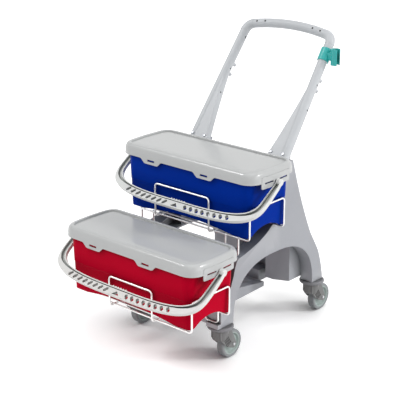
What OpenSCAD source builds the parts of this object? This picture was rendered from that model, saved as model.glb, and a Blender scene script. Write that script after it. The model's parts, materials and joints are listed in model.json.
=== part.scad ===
// Two-bucket cleaning trolley: arched side frames on swivel castors, a leaning push handle,
// and two lidded buckets with bails, each standing in a welded wire cradle.
// X runs across the trolley, Y runs from the front to the handle, Z is up from the floor.

/* [Layout] */
// How far the buckets sit off the middle, to the left where it is negative
bucket_shift = -5; // [-6:1:0]
// Y of the middle of the lower bucket
lower_bucket_y = -282; // [-300:1:-265]
// How far the upper bucket stands behind the lower one
bucket_pitch_y = 274; // [270:1:290]
// Height of the lower bucket's feet above the floor
lower_seat_z = 197; // [190:1:205]
// How much higher the upper bucket stands than the lower one
bucket_pitch_z = 221; // [215:1:230]

/* [Bucket] */
// Height from the feet to the top of the closed lid
bucket_height = 222; // [200:1:240]
// Length of the bucket at its feet
base_length = 512; // [490:1:516]
// Width of the bucket at its feet
base_width = 200; // [190:1:202]
// Radius of the bucket's upright corners at the feet
base_corner = 16; // [15:1:30]
// How far the walls lean out between the feet and the rim
wall_draft = 11; // [6:1:11]
// Wall of the bucket
bucket_wall = 3; // [2:0.5:5]
// Height of the moulded step line above the feet
step_height = 97; // [80:1:120]
// How far the wall stands out above the step line
step_out = 1; // [0.5:0.5:2]
// Rise of the arched bottom edge along the long sides
foot_arch = 15; // [6:1:20]
// Rise of the arched bottom edge across the ends
end_arch = 24; // [20:1:30]
// Length of each corner foot along the bucket's long side
foot_length = 62; // [40:1:80]
// Depth of the rim flange
rim_depth = 6; // [4:1:10]

/* [Lid] */
// Length of the lid
lid_length = 584; // [576:1:588]
// Width of the lid
lid_width = 236; // [230:1:240]
// Radius of the lid's corners
lid_corner = 36; // [28:1:45]
// Radius of the outward bow of the lid's short ends
lid_bow = 700; // [500:10:1200]
// Depth of the lid's skirt
skirt_depth = 38; // [30:1:44]
// Wall of the lid
lid_wall = 2.5; // [2:0.5:4]
// Width of the raised border round the lid's top
border_width = 20; // [12:1:24]
// Depth of the recessed panel inside the border
panel_recess = 2.5; // [1:0.5:4]
// Distance between the two clips on a long side
clip_spacing = 232; // [180:1:260]
// How far the pair of front clips sits left of the middle
clip_shift = 27; // [0:1:40]
// Width of a side clip where it leaves the skirt
clip_width = 96; // [70:1:110]
// How far a side clip hangs below the skirt
clip_drop = 16; // [10:1:20]
// Length of the slot in a side clip
clip_slot = 32; // [20:1:44]
// Width of the clip on each end
end_clip_width = 140; // [120:1:160]
// How far the end clip hangs below the lid's top
end_clip_drop = 57; // [54:1:64]
// How far the end clip stands proud of the skirt
end_clip_proud = 1.5; // [1:0.5:2]

/* [Bail] */
// Depth of the bail's pivot below the lid's top
pivot_drop = 45; // [42:1:48]
// Radius of the pivot stubs
pivot_radius = 6; // [4:0.5:7]
// Angle of the bail below level when it hangs in front
bail_angle = 35; // [30:1:40]
// Distance from the lid's end to the middle of the bail's arm
bail_gap = 15; // [15:1:22]
// Distance from the pivot to the middle of the grip
bail_reach = 186; // [180:1:190]
// Distance from the pivot to the widest point of the arms
bail_shoulder = 75; // [60:1:90]
// Width of the arms
arm_width = 24; // [20:1:26]
// Width of the grip
grip_width = 31; // [26:1:34]
// Thickness of the bail
bail_thickness = 12; // [9:1:14]
// Slots on each side of the grip's middle
slots_per_side = 8; // [4:1:9]
// Place of the outermost slot, as a share of half the bail's width
slot_row_share = 0.7; // [0.62:0.01:0.72]
// Distance of the innermost slot from the middle
inner_slot_x = 45; // [35:1:60]

/* [Wire cradles] */
// Diameter of the cradle wire
wire_diameter = 6; // [4:0.5:6]
// Radius of the wire's bends
wire_bend = 12; // [8:1:16]
// Height of the lower front loop above the bucket's feet
lower_loop_height = 95; // [80:1:100]
// Height of the upper front loop above the bucket's feet
upper_loop_height = 107; // [80:1:112]
// Height of the side loops above the bucket's feet
side_loop_height = 98; // [80:1:110]
// Left leg of the lower front loop
lower_loop_left = -82; // [-110:1:-70]
// Right leg of the lower front loop
lower_loop_right = 106; // [70:1:120]
// Left leg of the upper front loop
upper_loop_left = -134; // [-140:1:-110]
// Right leg of the upper front loop
upper_loop_right = 102; // [90:1:130]
// Clearance between the bucket and the wires beside it
cradle_clearance = 3; // [3:0.5:5]
// Distance between the legs of a wire stirrup
stirrup_width = 54; // [46:1:60]

/* [Side frames] */
// Gap between the two side frames
frame_gap = 342; // [330:1:350]
// Thickness of a side frame
frame_thickness = 50; // [46:1:56]
// Wall of the side frames
frame_wall = 5; // [4:0.5:7]
// Height of the legs' feet above the floor
leg_base_z = 130; // [128:1:136]
// Y of the front castor stems
front_castor_y = -169; // [-175:1:-160]
// Y of the rear castor stems
rear_castor_y = 330; // [315:1:345]
// Height of the arch's crown above the floor
arch_crown_z = 312; // [290:1:318]
// Squareness of the arch
arch_power = 2.5; // [2:0.1:3]
// Height of the frame's top face, under the handle
frame_top_z = 611; // [600:1:620]
// Depth of the upright at its top
upright_depth = 38; // [36:1:44]

/* [Beams] */
// Half the width of the keel beam
keel_half_width = 62; // [50:1:70]
// Height of the keel beam's underside
keel_base_z = 90; // [80:1:96]
// Height of the rear beam's top
rear_beam_top_z = 400; // [380:1:405]
// Y of the rear beam's front face
rear_beam_y = 229; // [220:1:240]
// Depth of the rear beam
rear_beam_depth = 72; // [60:1:76]
// Wall of the beams
beam_wall = 5; // [4:0.5:7]

/* [Push handle] */
// Backward lean of the handle
handle_lean = 37; // [32:0.5:37]
// Length of the handle along its lean, to the middle of the bar
handle_length = 478; // [440:1:500]
// Radius of the handle's tube
tube_radius = 16; // [14:0.5:17]
// Half the distance between the tubes at their feet
foot_half_span = 198; // [194:1:200]
// Half the distance between the tubes at the top corners
corner_half_span = 181; // [172:1:184]
// Radius of the bar's upward bow
bar_bow = 800; // [600:10:900]
// Radius of the top corners
corner_radius = 34; // [30:1:50]
// Half the distance between the inner edges of the two webs
web_half_gap = 134; // [128:1:140]
// Length of the web along the upright
web_length = 265; // [200:5:280]
// Radius of the accessory holes in the bar
bar_hole_radius = 3.5; // [2:0.25:4]
// Distance of the outer accessory holes from the middle
outer_hole_x = 136; // [128:1:138]
// Distance of the inner accessory holes from the middle
inner_hole_x = 102; // [80:1:110]

/* [Pole clip] */
// Distance of the clip's sleeve from the middle of the bar, along the upright
clip_along = 90; // [82:1:108]
// Length of the clip's sleeve
sleeve_length = 44; // [36:1:48]
// Wall of the clip's sleeve
sleeve_wall = 4; // [3:0.5:6]
// Radius of the pole that the jaw holds
pole_radius = 11.5; // [10:0.25:13]
// Wall of the jaw
jaw_wall = 4; // [3:0.5:5]
// Height of the jaw
jaw_height = 54; // [44:1:60]

/* [Castors] */
// Radius of the wheel over the tyre
wheel_radius = 48; // [44:1:50]
// Width of the tyre
tyre_width = 27; // [22:1:30]
// Thickness of the tyre
tyre_thickness = 9; // [6:1:12]
// Distance of the axle behind the stem
castor_trail = 44; // [40:1:48]
// Radius of the axle
axle_radius = 5; // [4:0.5:6]
// Radius of the swivel stem
stem_radius = 6; // [5:0.5:7]
// Length of the stem inside the leg
stem_depth = 34; // [25:1:40]
// Radius of the round bumper under each leg
bumper_radius = 44; // [40:1:48]
// Thickness of the bumper
bumper_thickness = 13; // [10:1:15]
// Radius of the fork's swivel head
head_radius = 27; // [25:1:30]
// Thickness of the fork's arms
fork_wall = 5; // [4:0.5:6]
// How far the fork's rounded nose hangs below its head
nose_drop = 20; // [14:1:22]
// Depth of the grip grooves in the fork's arms
arm_groove_depth = 2; // [1:0.5:2.5]

/* [Fits] */
// Radial clearance of running fits
running_clearance = 0.05; // [0.02:0.01:0.1]
// Gap between parts that rest or slide on each other
rest_gap = 0.3; // [0.2:0.1:0.5]
// Gap between the bucket's rim and the lid's skirt
lid_clearance = 1.5; // [1:0.25:2]

/* [Hidden] */
$fn = 48;
cut = 1;
curve_steps = 12;
bail_steps = 48;

// Buckets and lids
upper_bucket_y = lower_bucket_y + bucket_pitch_y;
upper_seat_z = lower_seat_z + bucket_pitch_z;
lid_plate_z = bucket_height - panel_recess - lid_wall;
rim_top_z = lid_plate_z - rest_gap;
rim_inset = lid_wall + lid_clearance;
floor_z = end_arch + bucket_wall;
corner_ease = 0.1;
skirt_base_z = bucket_height - skirt_depth;
pivot_z = bucket_height - pivot_drop;
clip_slot_height = 5;
clip_taper = 18;
catch_height = 10;
catch_root_y = base_width / 2 + draft_at(skirt_base_z);
end_clip_top = 17;
end_slot_near = 16;
end_slot_far = 56;
end_slot_z = bucket_height - 39;
notch_clearance = 2;
pivot_notch = 2 * (pivot_radius + notch_clearance);

// Bail
bail_half_span = lid_length / 2 + bail_gap;
outer_slot_x = slot_row_share * bail_half_span;
arm_power = 3.6;
arm_tuck = 3 * bail_shoulder;
eye_radius = 11;
eye_setback = 10;
eye_inner_x = bail_half_span - eye_setback;
eye_length = 15;
eye_depth = 11;
arm_taper = 0.35;
stub_root_x = base_length / 2 + draft_at(pivot_z);
stub_end_x = eye_inner_x + eye_depth - rest_gap;
groove_edge = 4;
groove_arm = 16;
groove_grip = 3;
groove_depth = 9;
slot_length = 20.5;
slot_radius = 5.5;
slot_slant = 48;
middle_slot_width = 30;
middle_slot_height = 14;
grip_rib_count = 6;
grip_rib_pitch = 11;
grip_rib_radius = 3.4;

// Wire cradles
wire_radius = wire_diameter / 2;
weld_sink = 0.4;
cross_wire_z = -rest_gap - wire_radius;
long_wire_z = cross_wire_z - wire_diameter + weld_sink;
front_wire_y = -base_width / 2 - draft_at(upper_loop_height) - step_out - cradle_clearance - wire_radius;
side_wire_x = base_length / 2 + draft_at(side_loop_height) + step_out + cradle_clearance + wire_radius;
front_cross_wire = -base_width / 2 - 1;
rear_cross_wire = 76;
left_loop_wire = -78;
stirrup_outer_x = frame_gap / 2 + 42;
stirrup_lap = wire_diameter - weld_sink;
stirrup_top_z = -2 * rest_gap;

// Side frames
frame_inner_x = frame_gap / 2;
frame_mid_x = frame_inner_x + frame_thickness / 2;
toe_y = front_castor_y - 43;
toe_z = lower_seat_z - 52;
shin_y = front_castor_y - 27;
arch_front_y = front_castor_y + 35;
arch_rear_y = rear_castor_y - 33;
heel_y = rear_castor_y + 28;
arch_mid_y = (arch_front_y + arch_rear_y) / 2;
arch_half = (arch_rear_y - arch_front_y) / 2;
shelf_z = upper_seat_z + cross_wire_z - wire_radius;
shelf_front_y = upper_bucket_y + rear_cross_wire - 8;
upright_front_y = upper_bucket_y + lid_width / 2 + 8;
rim_front_y = upper_bucket_y + front_cross_wire + stirrup_lap;
rim_front_z = 346;
upright_top_y = 128;
knee_setback = 6;
knee_rise = 2;
rim_run = 30;
rim_rise = 50;
rim_turn = 20;
rim_dip = 2;
brow_step = 20;
brow_rise = 4;
brow_reach = 125;
brow_swell = 28;
nape_step = 20;
hip_setback = 80;
hip_z = arch_crown_z + 12;
calf_setback = 34;
calf_z = leg_base_z + 120;
heel_lift = 10;
stem_boss_radius = 16;
rib_positions = [-60, 60, 190];
rib_thickness = 4;
rib_setback = 8;

// Beams
keel_top_z = leg_base_z + rest_gap;
keel_slot_half = 27;
keel_bend_y = 97;
keel_rear_base_z = keel_base_z + 3;
keel_rear_top_z = keel_base_z + 21;
keel_bridge = 30;
keel_tail_half = 40;
keel_tail_top_z = keel_top_z + 20;
front_beam_y = shin_y;
front_beam_depth = 44;
front_beam_top_z = lower_seat_z + long_wire_z - wire_radius;
rear_beam_end_z = 143;
rear_beam_flat = 100;
rear_recess_half = 66;
rear_recess_depth = 50;
rear_recess_top_z = 330;
bolt_radius = 4;
bolt_head_radius = 7;
bolt_head_length = 5;
bolt_length = 24;
bolt_boss_radius = 12;
bolt_places = [
    [front_beam_y + 14, front_beam_top_z - 17],
    [front_beam_y + 31, front_beam_top_z - 17],
    [rear_beam_y + rear_beam_depth / 2, 340],
    [rear_beam_y + rear_beam_depth / 2, 375]
];

// Push handle
handle_base_y = upright_top_y + upright_depth / 2 - 2;
tube_inset = atan((foot_half_span - corner_half_span) / handle_length);
bar_centre = handle_length - bar_bow;
corner_reach = bar_bow - corner_radius;
corner_a = foot_half_span - corner_radius * cos(tube_inset);
corner_b = -corner_radius * sin(tube_inset) - bar_centre;
corner_q = corner_b * cos(tube_inset) - corner_a * sin(tube_inset);
tube_run = -corner_q + sqrt(pow(corner_q, 2) - pow(corner_a, 2) - pow(corner_b, 2) + pow(corner_reach, 2));
corner_x = corner_a - tube_run * sin(tube_inset);
corner_s = tube_run * cos(tube_inset) - corner_radius * sin(tube_inset);
bar_end_angle = atan2(corner_s - bar_centre, corner_x);
tube_tail = 30;
corner_swell = 0.4;
corner_lap = 2.5;
bar_facets = 240;
web_front = 3 - tube_radius;
web_back = tube_radius - 1;
web_flare = 22;
tongue_front = tube_radius + rest_gap;
tongue_back = tongue_front + 7;
tongue_top = 24;
tongue_tail = 24;
screw_radius = 2.5;
screw_head_radius = 5;
screw_head_length = 3;
screw_s = 14;
screw_inner_x = web_half_gap + 12;
screw_outer_x = foot_half_span - screw_s * tan(tube_inset);
upright_hole_radius = 3;
upright_hole_places = [185, 278, 405];
lug_radius = 6;
lug_length = 16;
lug_places = [268, 306];

// Pole clip
clip_place = handle_length - clip_along;
clip_tube_x = foot_half_span - clip_place * tan(tube_inset);
clip_y = handle_base_y + clip_place * sin(handle_lean);
clip_z = frame_top_z + clip_place * cos(handle_lean);
sleeve_radius = tube_radius + sleeve_wall;
jaw_radius = pole_radius + jaw_wall;
jaw_x = clip_tube_x + sleeve_radius + jaw_radius + 7;
jaw_mouth = 2 * pole_radius - 5;
clip_head_length = 2;
clip_head_x = jaw_x - pole_radius - clip_head_length - rest_gap;
pad_height = 26;
pad_depth = 20;

// Castors
axle_z = wheel_radius;
bumper_base_z = leg_base_z - bumper_thickness;
head_top_z = bumper_base_z - rest_gap;
head_base_z = 2 * wheel_radius + 2;
fork_gap = tyre_width / 2 + 2;
hub_half = tyre_width / 2 - 1;
rim_radius = wheel_radius - tyre_thickness;
axle_boss_radius = 13;
axle_overhang = 3;
arm_front_inset = 4;
arm_brow = 12;
arm_chin = 11;
arm_belly = [4, 46];
arm_groove_count = 5;
arm_groove_width = 2.4;
arm_groove_pitch = 5;
arm_groove_length = 32;
arm_groove_slant = 30;
arm_groove_place = [13, 67];
nose_back = 8;
arm_heel = 3;
arm_back = 6;
front_left = [-frame_mid_x, front_castor_y];
front_right = [frame_mid_x, front_castor_y];
rear_left = [-frame_mid_x, rear_castor_y];
rear_right = [frame_mid_x, rear_castor_y];

// Colours
grey = "#b9bcc3";
pale_grey = "#d3d4d6";
lid_grey = "#c6c9c9";
red = "#c11f33";
blue = "#12389e";
teal = "#3fbdb5";
steel = "#c9ccd0";
tyre_grey = "#8f969a";

// How far the bucket's walls have leaned out at a height
function draft_at(height) = wall_draft * height / bucket_height;

// Points along a curve that leaves a towards b and arrives at c from b
function bend_points(a, b, c) = [
    for (i = [0 : curve_steps])
        let (t = i / curve_steps)
            (1 - t) * (1 - t) * a + 2 * t * (1 - t) * b + t * t * c
];

// A number's power that keeps its sign
function signed_pow(value, power) = sign(value) * pow(abs(value), power);

// Distance from the pivot to the bail's middle line at a place across the grip
function grip_line(x) =
    bail_shoulder + (bail_reach - bail_shoulder)
    * pow(1 - pow(abs(x) / bail_half_span, arm_power), 1 / arm_power);

// One edge of the bail, offset from its middle line at the arms, which narrow to the pivot, and at the grip
function bail_edge(arm_offset, grip_offset) =
    let (start = -asin(pow(bail_shoulder / arm_tuck, arm_power / 2)))
    [
        for (i = [0 : bail_steps])
            let (turn = start + (180 - 2 * start) * i / bail_steps)
            let (reach = sin(turn) < 0 ? arm_tuck : bail_reach - bail_shoulder + grip_offset)
            let (narrowing = 1 - arm_taper * max(0, sin(turn) / sin(start)))
            [
                (bail_half_span + arm_offset * narrowing) * signed_pow(cos(turn), 2 / arm_power),
                bail_shoulder + reach * signed_pow(sin(turn), 2 / arm_power)
            ]
    ];

function reversed(points) = [for (i = [len(points) - 1 : -1 : 0]) points[i]];

// The arch between the legs, grown by a wall
function arch_points(grow) = [
    for (i = [0 : 3 * curve_steps])
        let (turn = 180 * i / (3 * curve_steps))
        [
            arch_mid_y + (arch_half + grow) * signed_pow(cos(turn), 2 / arch_power),
            leg_base_z + (arch_crown_z - leg_base_z + grow) * pow(sin(turn), 2 / arch_power)
        ]
];

// Outline of a side frame, seen along X and drawn in by a wall
function frame_outline(wall) = concat(
    arch_points(wall),
    [
        [toe_y + wall, leg_base_z],
        [toe_y + wall, toe_z - wall],
        [shin_y + wall, toe_z - wall],
        [shin_y + wall, front_beam_top_z - wall],
        [front_castor_y - knee_setback + wall, front_beam_top_z + knee_rise - wall]
    ],
    bend_points(
        [rim_front_y - rim_run + wall, rim_front_z - rim_rise],
        [rim_front_y - rim_turn + wall, rim_front_z - rim_dip - wall],
        [rim_front_y + wall, rim_front_z - wall]
    ),
    bend_points(
        [rim_front_y + brow_step, rim_front_z + brow_rise - wall],
        [rim_front_y + brow_reach, rim_front_z + brow_swell - wall],
        [shelf_front_y, shelf_z - wall]
    ),
    [
        [upright_front_y + wall, shelf_z - wall],
        [upright_top_y + wall, frame_top_z - wall],
        [upright_top_y + upright_depth - wall, frame_top_z - wall]
    ],
    bend_points(
        [upright_top_y + upright_depth + nape_step - wall, frame_top_z - 3 * nape_step],
        [upright_top_y + upright_depth + 3 * nape_step - wall, frame_top_z - 9 * nape_step],
        [heel_y - hip_setback - wall, hip_z]
    ),
    bend_points(
        [heel_y - calf_setback - wall, calf_z],
        [heel_y - calf_setback / 3 - wall, (calf_z + leg_base_z) / 2 + heel_lift],
        [heel_y - wall, leg_base_z]
    )
);

// Mirrored pair on both sides of the trolley
module both_sides() {
    children();
    mirror([1, 0, 0]) children();
}

// A flat outline in Y and Z, drawn out along X
module along_x(x, length) {
    translate([x, 0, 0]) rotate([90, 0, 90]) linear_extrude(length) children();
}

// A straight length of wire between two points
module rod(from, to) {
    way = to - from;
    translate(from)
        rotate([0, acos(way.z / norm(way)), atan2(way.y, way.x)])
            cylinder(h = norm(way), r = wire_radius);
}

// A quarter bend of wire at a corner, from one direction into another
module wire_corner(corner, way_in, way_out) {
    centre = corner - way_in * wire_bend + way_out * wire_bend;
    axis = cross(-way_out, way_in);
    multmatrix([
        [-way_out.x, way_in.x, axis.x, centre.x],
        [-way_out.y, way_in.y, axis.y, centre.y],
        [-way_out.z, way_in.z, axis.z, centre.z],
        [0, 0, 0, 1]
    ])
        rotate_extrude(angle = 90) translate([wire_bend, 0]) circle(wire_radius);
}

// A wire through points joined by square corners
module bent_wire(points) {
    last = len(points) - 1;
    ways = [for (i = [0 : last - 1]) (points[i + 1] - points[i]) / norm(points[i + 1] - points[i])];
    for (i = [0 : last - 1]) {
        head = i > 0 ? wire_bend : 0;
        tail = i < last - 1 ? wire_bend : 0;
        rod(points[i] + ways[i] * head, points[i + 1] - ways[i] * tail);
    }
    for (i = [1 : last - 1])
        wire_corner(points[i], ways[i - 1], ways[i]);
}

// Rectangle with round corners, centred
module round_rectangle(length, width, corner) {
    square([length - 2 * corner, width], center = true);
    square([length, width - 2 * corner], center = true);
    for (x = [-1, 1], y = [-1, 1])
        translate([x * (length / 2 - corner), y * (width / 2 - corner)]) circle(corner);
}

// The lid's plan, with bowed ends, drawn in by a wall
module lid_plan(wall) {
    intersection() {
        round_rectangle(lid_length - 2 * wall, lid_width - 2 * wall, lid_corner - wall);
        translate([lid_length / 2 - lid_bow, 0]) circle(lid_bow - wall, $fn = 96);
        translate([lid_bow - lid_length / 2, 0]) circle(lid_bow - wall, $fn = 96);
    }
}

// Side view of a drafted wall round corner centres at the given half spacing
module drafted_side(half, low_radius, high_radius, height) {
    polygon([
        [-half - low_radius, 0],
        [half + low_radius, 0],
        [half + high_radius, height],
        [-half - high_radius, height]
    ]);
}

// A length of drafted bucket between two heights, drawn in by a wall
module drafted(low, high, wall) {
    half_x = base_length / 2 - base_corner;
    half_y = base_width / 2 - base_corner;
    low_radius = base_corner + draft_at(low) - wall;
    high_radius = base_corner + draft_at(high) - wall;
    translate([0, 0, low]) {
        for (x = [-half_x, half_x], y = [-half_y, half_y])
            translate([x, y, 0])
                cylinder(h = high - low, r1 = low_radius - corner_ease, r2 = high_radius - corner_ease);
        along_x(-half_x, 2 * half_x) drafted_side(half_y, low_radius, high_radius, high - low);
        translate([0, half_y, 0])
            rotate([90, 0, 0])
                linear_extrude(2 * half_y) drafted_side(half_x, low_radius, high_radius, high - low);
    }
}

module seat_lower() {
    translate([0, lower_bucket_y, lower_seat_z]) children();
}

module seat_upper() {
    translate([0, upper_bucket_y, upper_seat_z]) children();
}

module place_lower() {
    seat_lower() translate([bucket_shift, 0, 0]) children();
}

module place_upper() {
    seat_upper() translate([bucket_shift, 0, 0]) children();
}

// Shallow arches cut into the bucket's bottom edge
module foot_arches() {
    for (side = [[base_length, 0, foot_arch], [base_width, 90, end_arch]]) {
        half = side[0] / 2 - foot_length * side[0] / base_length;
        rise = side[2];
        sweep = (half * half + rise * rise) / (2 * rise);
        rotate([90, 0, side[1]])
            translate([0, rise - sweep, -base_length])
                cylinder(h = 2 * base_length, r = sweep, $fn = 128);
    }
}

module bucket_shell() {
    difference() {
        union() {
            drafted(0, step_height, 0);
            drafted(step_height, rim_top_z, -step_out);
            translate([0, 0, rim_top_z - rim_depth]) linear_extrude(rim_depth) lid_plan(rim_inset);
        }
        drafted(floor_z, rim_top_z + cut, bucket_wall);
        translate([0, 0, -cut])
            linear_extrude(end_arch + cut)
                round_rectangle(
                    base_length - 2 * bucket_wall, base_width - 2 * bucket_wall, base_corner - bucket_wall
                );
        foot_arches();
    }
    for (side = [-1, 1], place = [-1, 1])
        translate([
            side * clip_shift + place * clip_spacing / 2 - clip_slot / 2,
            side > 0 ? catch_root_y : -lid_width / 2 + rim_inset,
            skirt_base_z - clip_slot_height
        ])
            cube([clip_slot, lid_width / 2 - rim_inset - catch_root_y, catch_height]);
    both_sides()
        translate([stub_root_x, 0, pivot_z])
            rotate([0, 90, 0]) cylinder(h = stub_end_x - stub_root_x, r = pivot_radius);
}

// A tapered clip that hangs from a long side of the skirt, with its slot
module side_clip() {
    rotate([90, 0, 0])
        linear_extrude(lid_wall)
            difference() {
                polygon([
                    [-clip_width / 2, skirt_base_z + 2 * clip_slot_height],
                    [-clip_width / 2, skirt_base_z],
                    [-clip_width / 2 + clip_taper, skirt_base_z - clip_drop],
                    [clip_width / 2 - clip_taper, skirt_base_z - clip_drop],
                    [clip_width / 2, skirt_base_z],
                    [clip_width / 2, skirt_base_z + 2 * clip_slot_height]
                ]);
                translate([0, skirt_base_z - clip_slot_height / 2])
                    square([clip_slot, clip_slot_height], center = true);
            }
}

// The wide clip on an end of the lid, with two slots and a notch for the pivot stub
module end_clip() {
    clip_base_z = bucket_height - end_clip_drop;
    intersection() {
        translate([0, 0, clip_base_z])
            linear_extrude(end_clip_drop - end_clip_top) lid_plan(-end_clip_proud);
        along_x(lid_length / 4, lid_length / 2)
            difference() {
                translate([-end_clip_width / 2, clip_base_z])
                    square([end_clip_width, end_clip_drop]);
                for (side = [-1, 1])
                    translate([side * (end_slot_near + end_slot_far) / 2, end_slot_z])
                        square([end_slot_far - end_slot_near, clip_slot_height], center = true);
                translate([-pivot_notch / 2, clip_base_z - cut])
                    square([pivot_notch, pivot_z + pivot_notch / 2 - clip_base_z + cut]);
            }
    }
}

module lid_shell() {
    difference() {
        union() {
            translate([0, 0, skirt_base_z]) linear_extrude(skirt_depth) lid_plan(0);
            for (side = [-1, 1], place = [-1, 1])
                translate([
                    side * clip_shift + place * clip_spacing / 2,
                    side * lid_width / 2 + (side > 0 ? 0 : lid_wall),
                    0
                ])
                    side_clip();
            both_sides() end_clip();
        }
        translate([0, 0, bucket_height - panel_recess])
            linear_extrude(panel_recess + cut) lid_plan(border_width);
        difference() {
            translate([0, 0, bucket_height - end_clip_drop - cut])
                linear_extrude(lid_plate_z - bucket_height + end_clip_drop + cut) lid_plan(lid_wall);
            for (side = [-1, 1])
                translate([-lid_length / 2, side > 0 ? lid_width / 2 - lid_wall : -lid_width / 2, 0])
                    cube([lid_length, lid_wall, bucket_height]);
        }
    }
}

// The bail's plan: X across, Y away from the pivot line
module bail_plan() {
    polygon(concat(
        bail_edge(arm_width / 2, grip_width / 2),
        reversed(bail_edge(-arm_width / 2, -grip_width / 2))
    ));
    for (i = [0 : grip_rib_count - 1])
        translate([(i - (grip_rib_count - 1) / 2) * grip_rib_pitch, grip_line(0) - grip_width / 2])
            circle(grip_rib_radius);
}

module bail_groove() {
    polygon(concat(
        bail_edge(groove_edge + groove_arm - arm_width / 2, groove_edge + groove_grip - grip_width / 2),
        reversed(bail_edge(groove_edge - arm_width / 2, groove_edge - grip_width / 2))
    ));
}

module bail_slots() {
    pitch = (outer_slot_x - inner_slot_x) / (slots_per_side - 1);
    lift = (groove_edge + groove_grip) / 2;
    for (side = [-1, 1], i = [0 : slots_per_side - 1]) {
        x = inner_slot_x + i * pitch;
        translate([side * x, grip_line(x) + lift])
            rotate(side * slot_slant) {
                square([slot_length - 2 * slot_radius, 2 * slot_radius], center = true);
                for (end = [-1, 1])
                    translate([end * (slot_length / 2 - slot_radius), 0]) circle(slot_radius);
            }
    }
    translate([0, grip_line(0) + lift])
        polygon([
            [-middle_slot_width / 2, middle_slot_height / 2],
            [middle_slot_width / 2, middle_slot_height / 2],
            [0, -middle_slot_height / 2]
        ]);
}

module bail_shape() {
    translate([0, 0, pivot_z])
        rotate([bail_angle, 0, 0])
            difference() {
                union() {
                    mirror([0, 1, 0])
                        translate([0, 0, -bail_thickness / 2])
                            difference() {
                                linear_extrude(bail_thickness) bail_plan();
                                translate([0, 0, bail_thickness - groove_depth])
                                    linear_extrude(groove_depth + cut) bail_groove();
                                translate([0, 0, -cut])
                                    linear_extrude(bail_thickness + 2 * cut) bail_slots();
                            }
                    both_sides()
                        translate([eye_inner_x, 0, 0])
                            rotate([0, 90, 0]) cylinder(h = eye_length, r = eye_radius);
                }
                both_sides()
                    translate([eye_inner_x - cut, 0, 0])
                        rotate([0, 90, 0])
                            cylinder(h = eye_depth + cut, r = pivot_radius + running_clearance);
            }
}

// A wire loop at one end of a bucket, from a cross wire in front to the cross wire behind
module side_loop(start_x, loop_x, front_y) {
    bent_wire([
        [start_x, front_y, cross_wire_z],
        [loop_x, front_y, cross_wire_z],
        [loop_x, front_y, side_loop_height],
        [loop_x, rear_cross_wire, side_loop_height],
        [loop_x, rear_cross_wire, cross_wire_z],
        [0, rear_cross_wire, cross_wire_z]
    ]);
}

// Wire cradle round a bucket's foot: front loop, side loops and two stirrups that stand on the frame
module cradle(loop_left, loop_right, loop_height, tail_y, stirrup_y, stirrup_base_z, front_wire_x) {
    bent_wire([
        [loop_right, tail_y, long_wire_z],
        [loop_right, front_wire_y, long_wire_z],
        [loop_right, front_wire_y, loop_height],
        [loop_left, front_wire_y, loop_height],
        [loop_left, front_wire_y, long_wire_z],
        [loop_left, tail_y, long_wire_z]
    ]);
    side_loop(front_wire_x, bucket_shift + side_wire_x, front_cross_wire);
    side_loop(loop_right + wire_diameter, bucket_shift - side_wire_x, left_loop_wire);
    both_sides()
        bent_wire([
            [stirrup_outer_x, stirrup_y, stirrup_top_z],
            [stirrup_outer_x, stirrup_y, stirrup_base_z],
            [stirrup_outer_x - stirrup_width, stirrup_y, stirrup_base_z],
            [stirrup_outer_x - stirrup_width, stirrup_y, stirrup_top_z]
        ]);
}

// Bosses and bolt holes where the beams meet a side frame
module bolt_bosses() {
    for (place = bolt_places)
        translate([frame_inner_x, place[0], place[1]])
            rotate([0, 90, 0]) cylinder(h = frame_thickness - frame_wall + cut, r = bolt_boss_radius);
}

module side_frame() {
    difference() {
        union() {
            difference() {
                along_x(frame_inner_x, frame_thickness) polygon(frame_outline(0));
                along_x(frame_inner_x - cut, frame_thickness - frame_wall + cut)
                    difference() {
                        polygon(frame_outline(frame_wall));
                        translate([toe_y, leg_base_z - cut])
                            square([heel_y - toe_y, frame_wall + cut]);
                    }
            }
            intersection() {
                along_x(frame_inner_x, frame_thickness) polygon(frame_outline(0));
                union() {
                    for (y = rib_positions)
                        translate([frame_inner_x + rib_setback, y - rib_thickness / 2, leg_base_z])
                            cube([frame_thickness, rib_thickness, frame_top_z]);
                    for (y = [front_castor_y, rear_castor_y])
                        translate([frame_mid_x, y, leg_base_z])
                            cylinder(h = stem_depth + frame_wall, r = stem_boss_radius);
                    bolt_bosses();
                }
            }
            on_handle()
                translate([web_half_gap + rib_thickness, tongue_front, -tongue_tail])
                    cube([
                        foot_half_span - web_half_gap,
                        tongue_back - tongue_front,
                        tongue_tail + tongue_top
                    ]);
        }
        for (y = [front_castor_y, rear_castor_y])
            translate([frame_mid_x, y, leg_base_z - cut])
                cylinder(h = stem_depth + cut, r = stem_radius + running_clearance);
        for (place = bolt_places)
            translate([frame_inner_x - cut, place[0], place[1]])
                rotate([0, 90, 0])
                    cylinder(h = bolt_length - beam_wall + cut, r = bolt_radius + running_clearance);
        handle_screw_holes();
    }
}

module front_beam() {
    translate([-frame_inner_x, front_beam_y, keel_top_z])
        difference() {
            cube([frame_gap, front_beam_depth, front_beam_top_z - keel_top_z]);
            translate([beam_wall, beam_wall, -cut])
                cube([
                    frame_gap - 2 * beam_wall,
                    front_beam_depth - 2 * beam_wall,
                    front_beam_top_z - keel_top_z - beam_wall + cut
                ]);
        }
}

// Section of the rear beam in X and Z, drawn in by a wall
module rear_beam_section(wall) {
    polygon([
        [-frame_inner_x + wall, rear_beam_end_z - wall],
        [-rear_beam_flat, keel_top_z - wall],
        [rear_beam_flat, keel_top_z - wall],
        [frame_inner_x - wall, rear_beam_end_z - wall],
        [frame_inner_x - wall, rear_beam_top_z - wall],
        [-frame_inner_x + wall, rear_beam_top_z - wall]
    ]);
}

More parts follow.
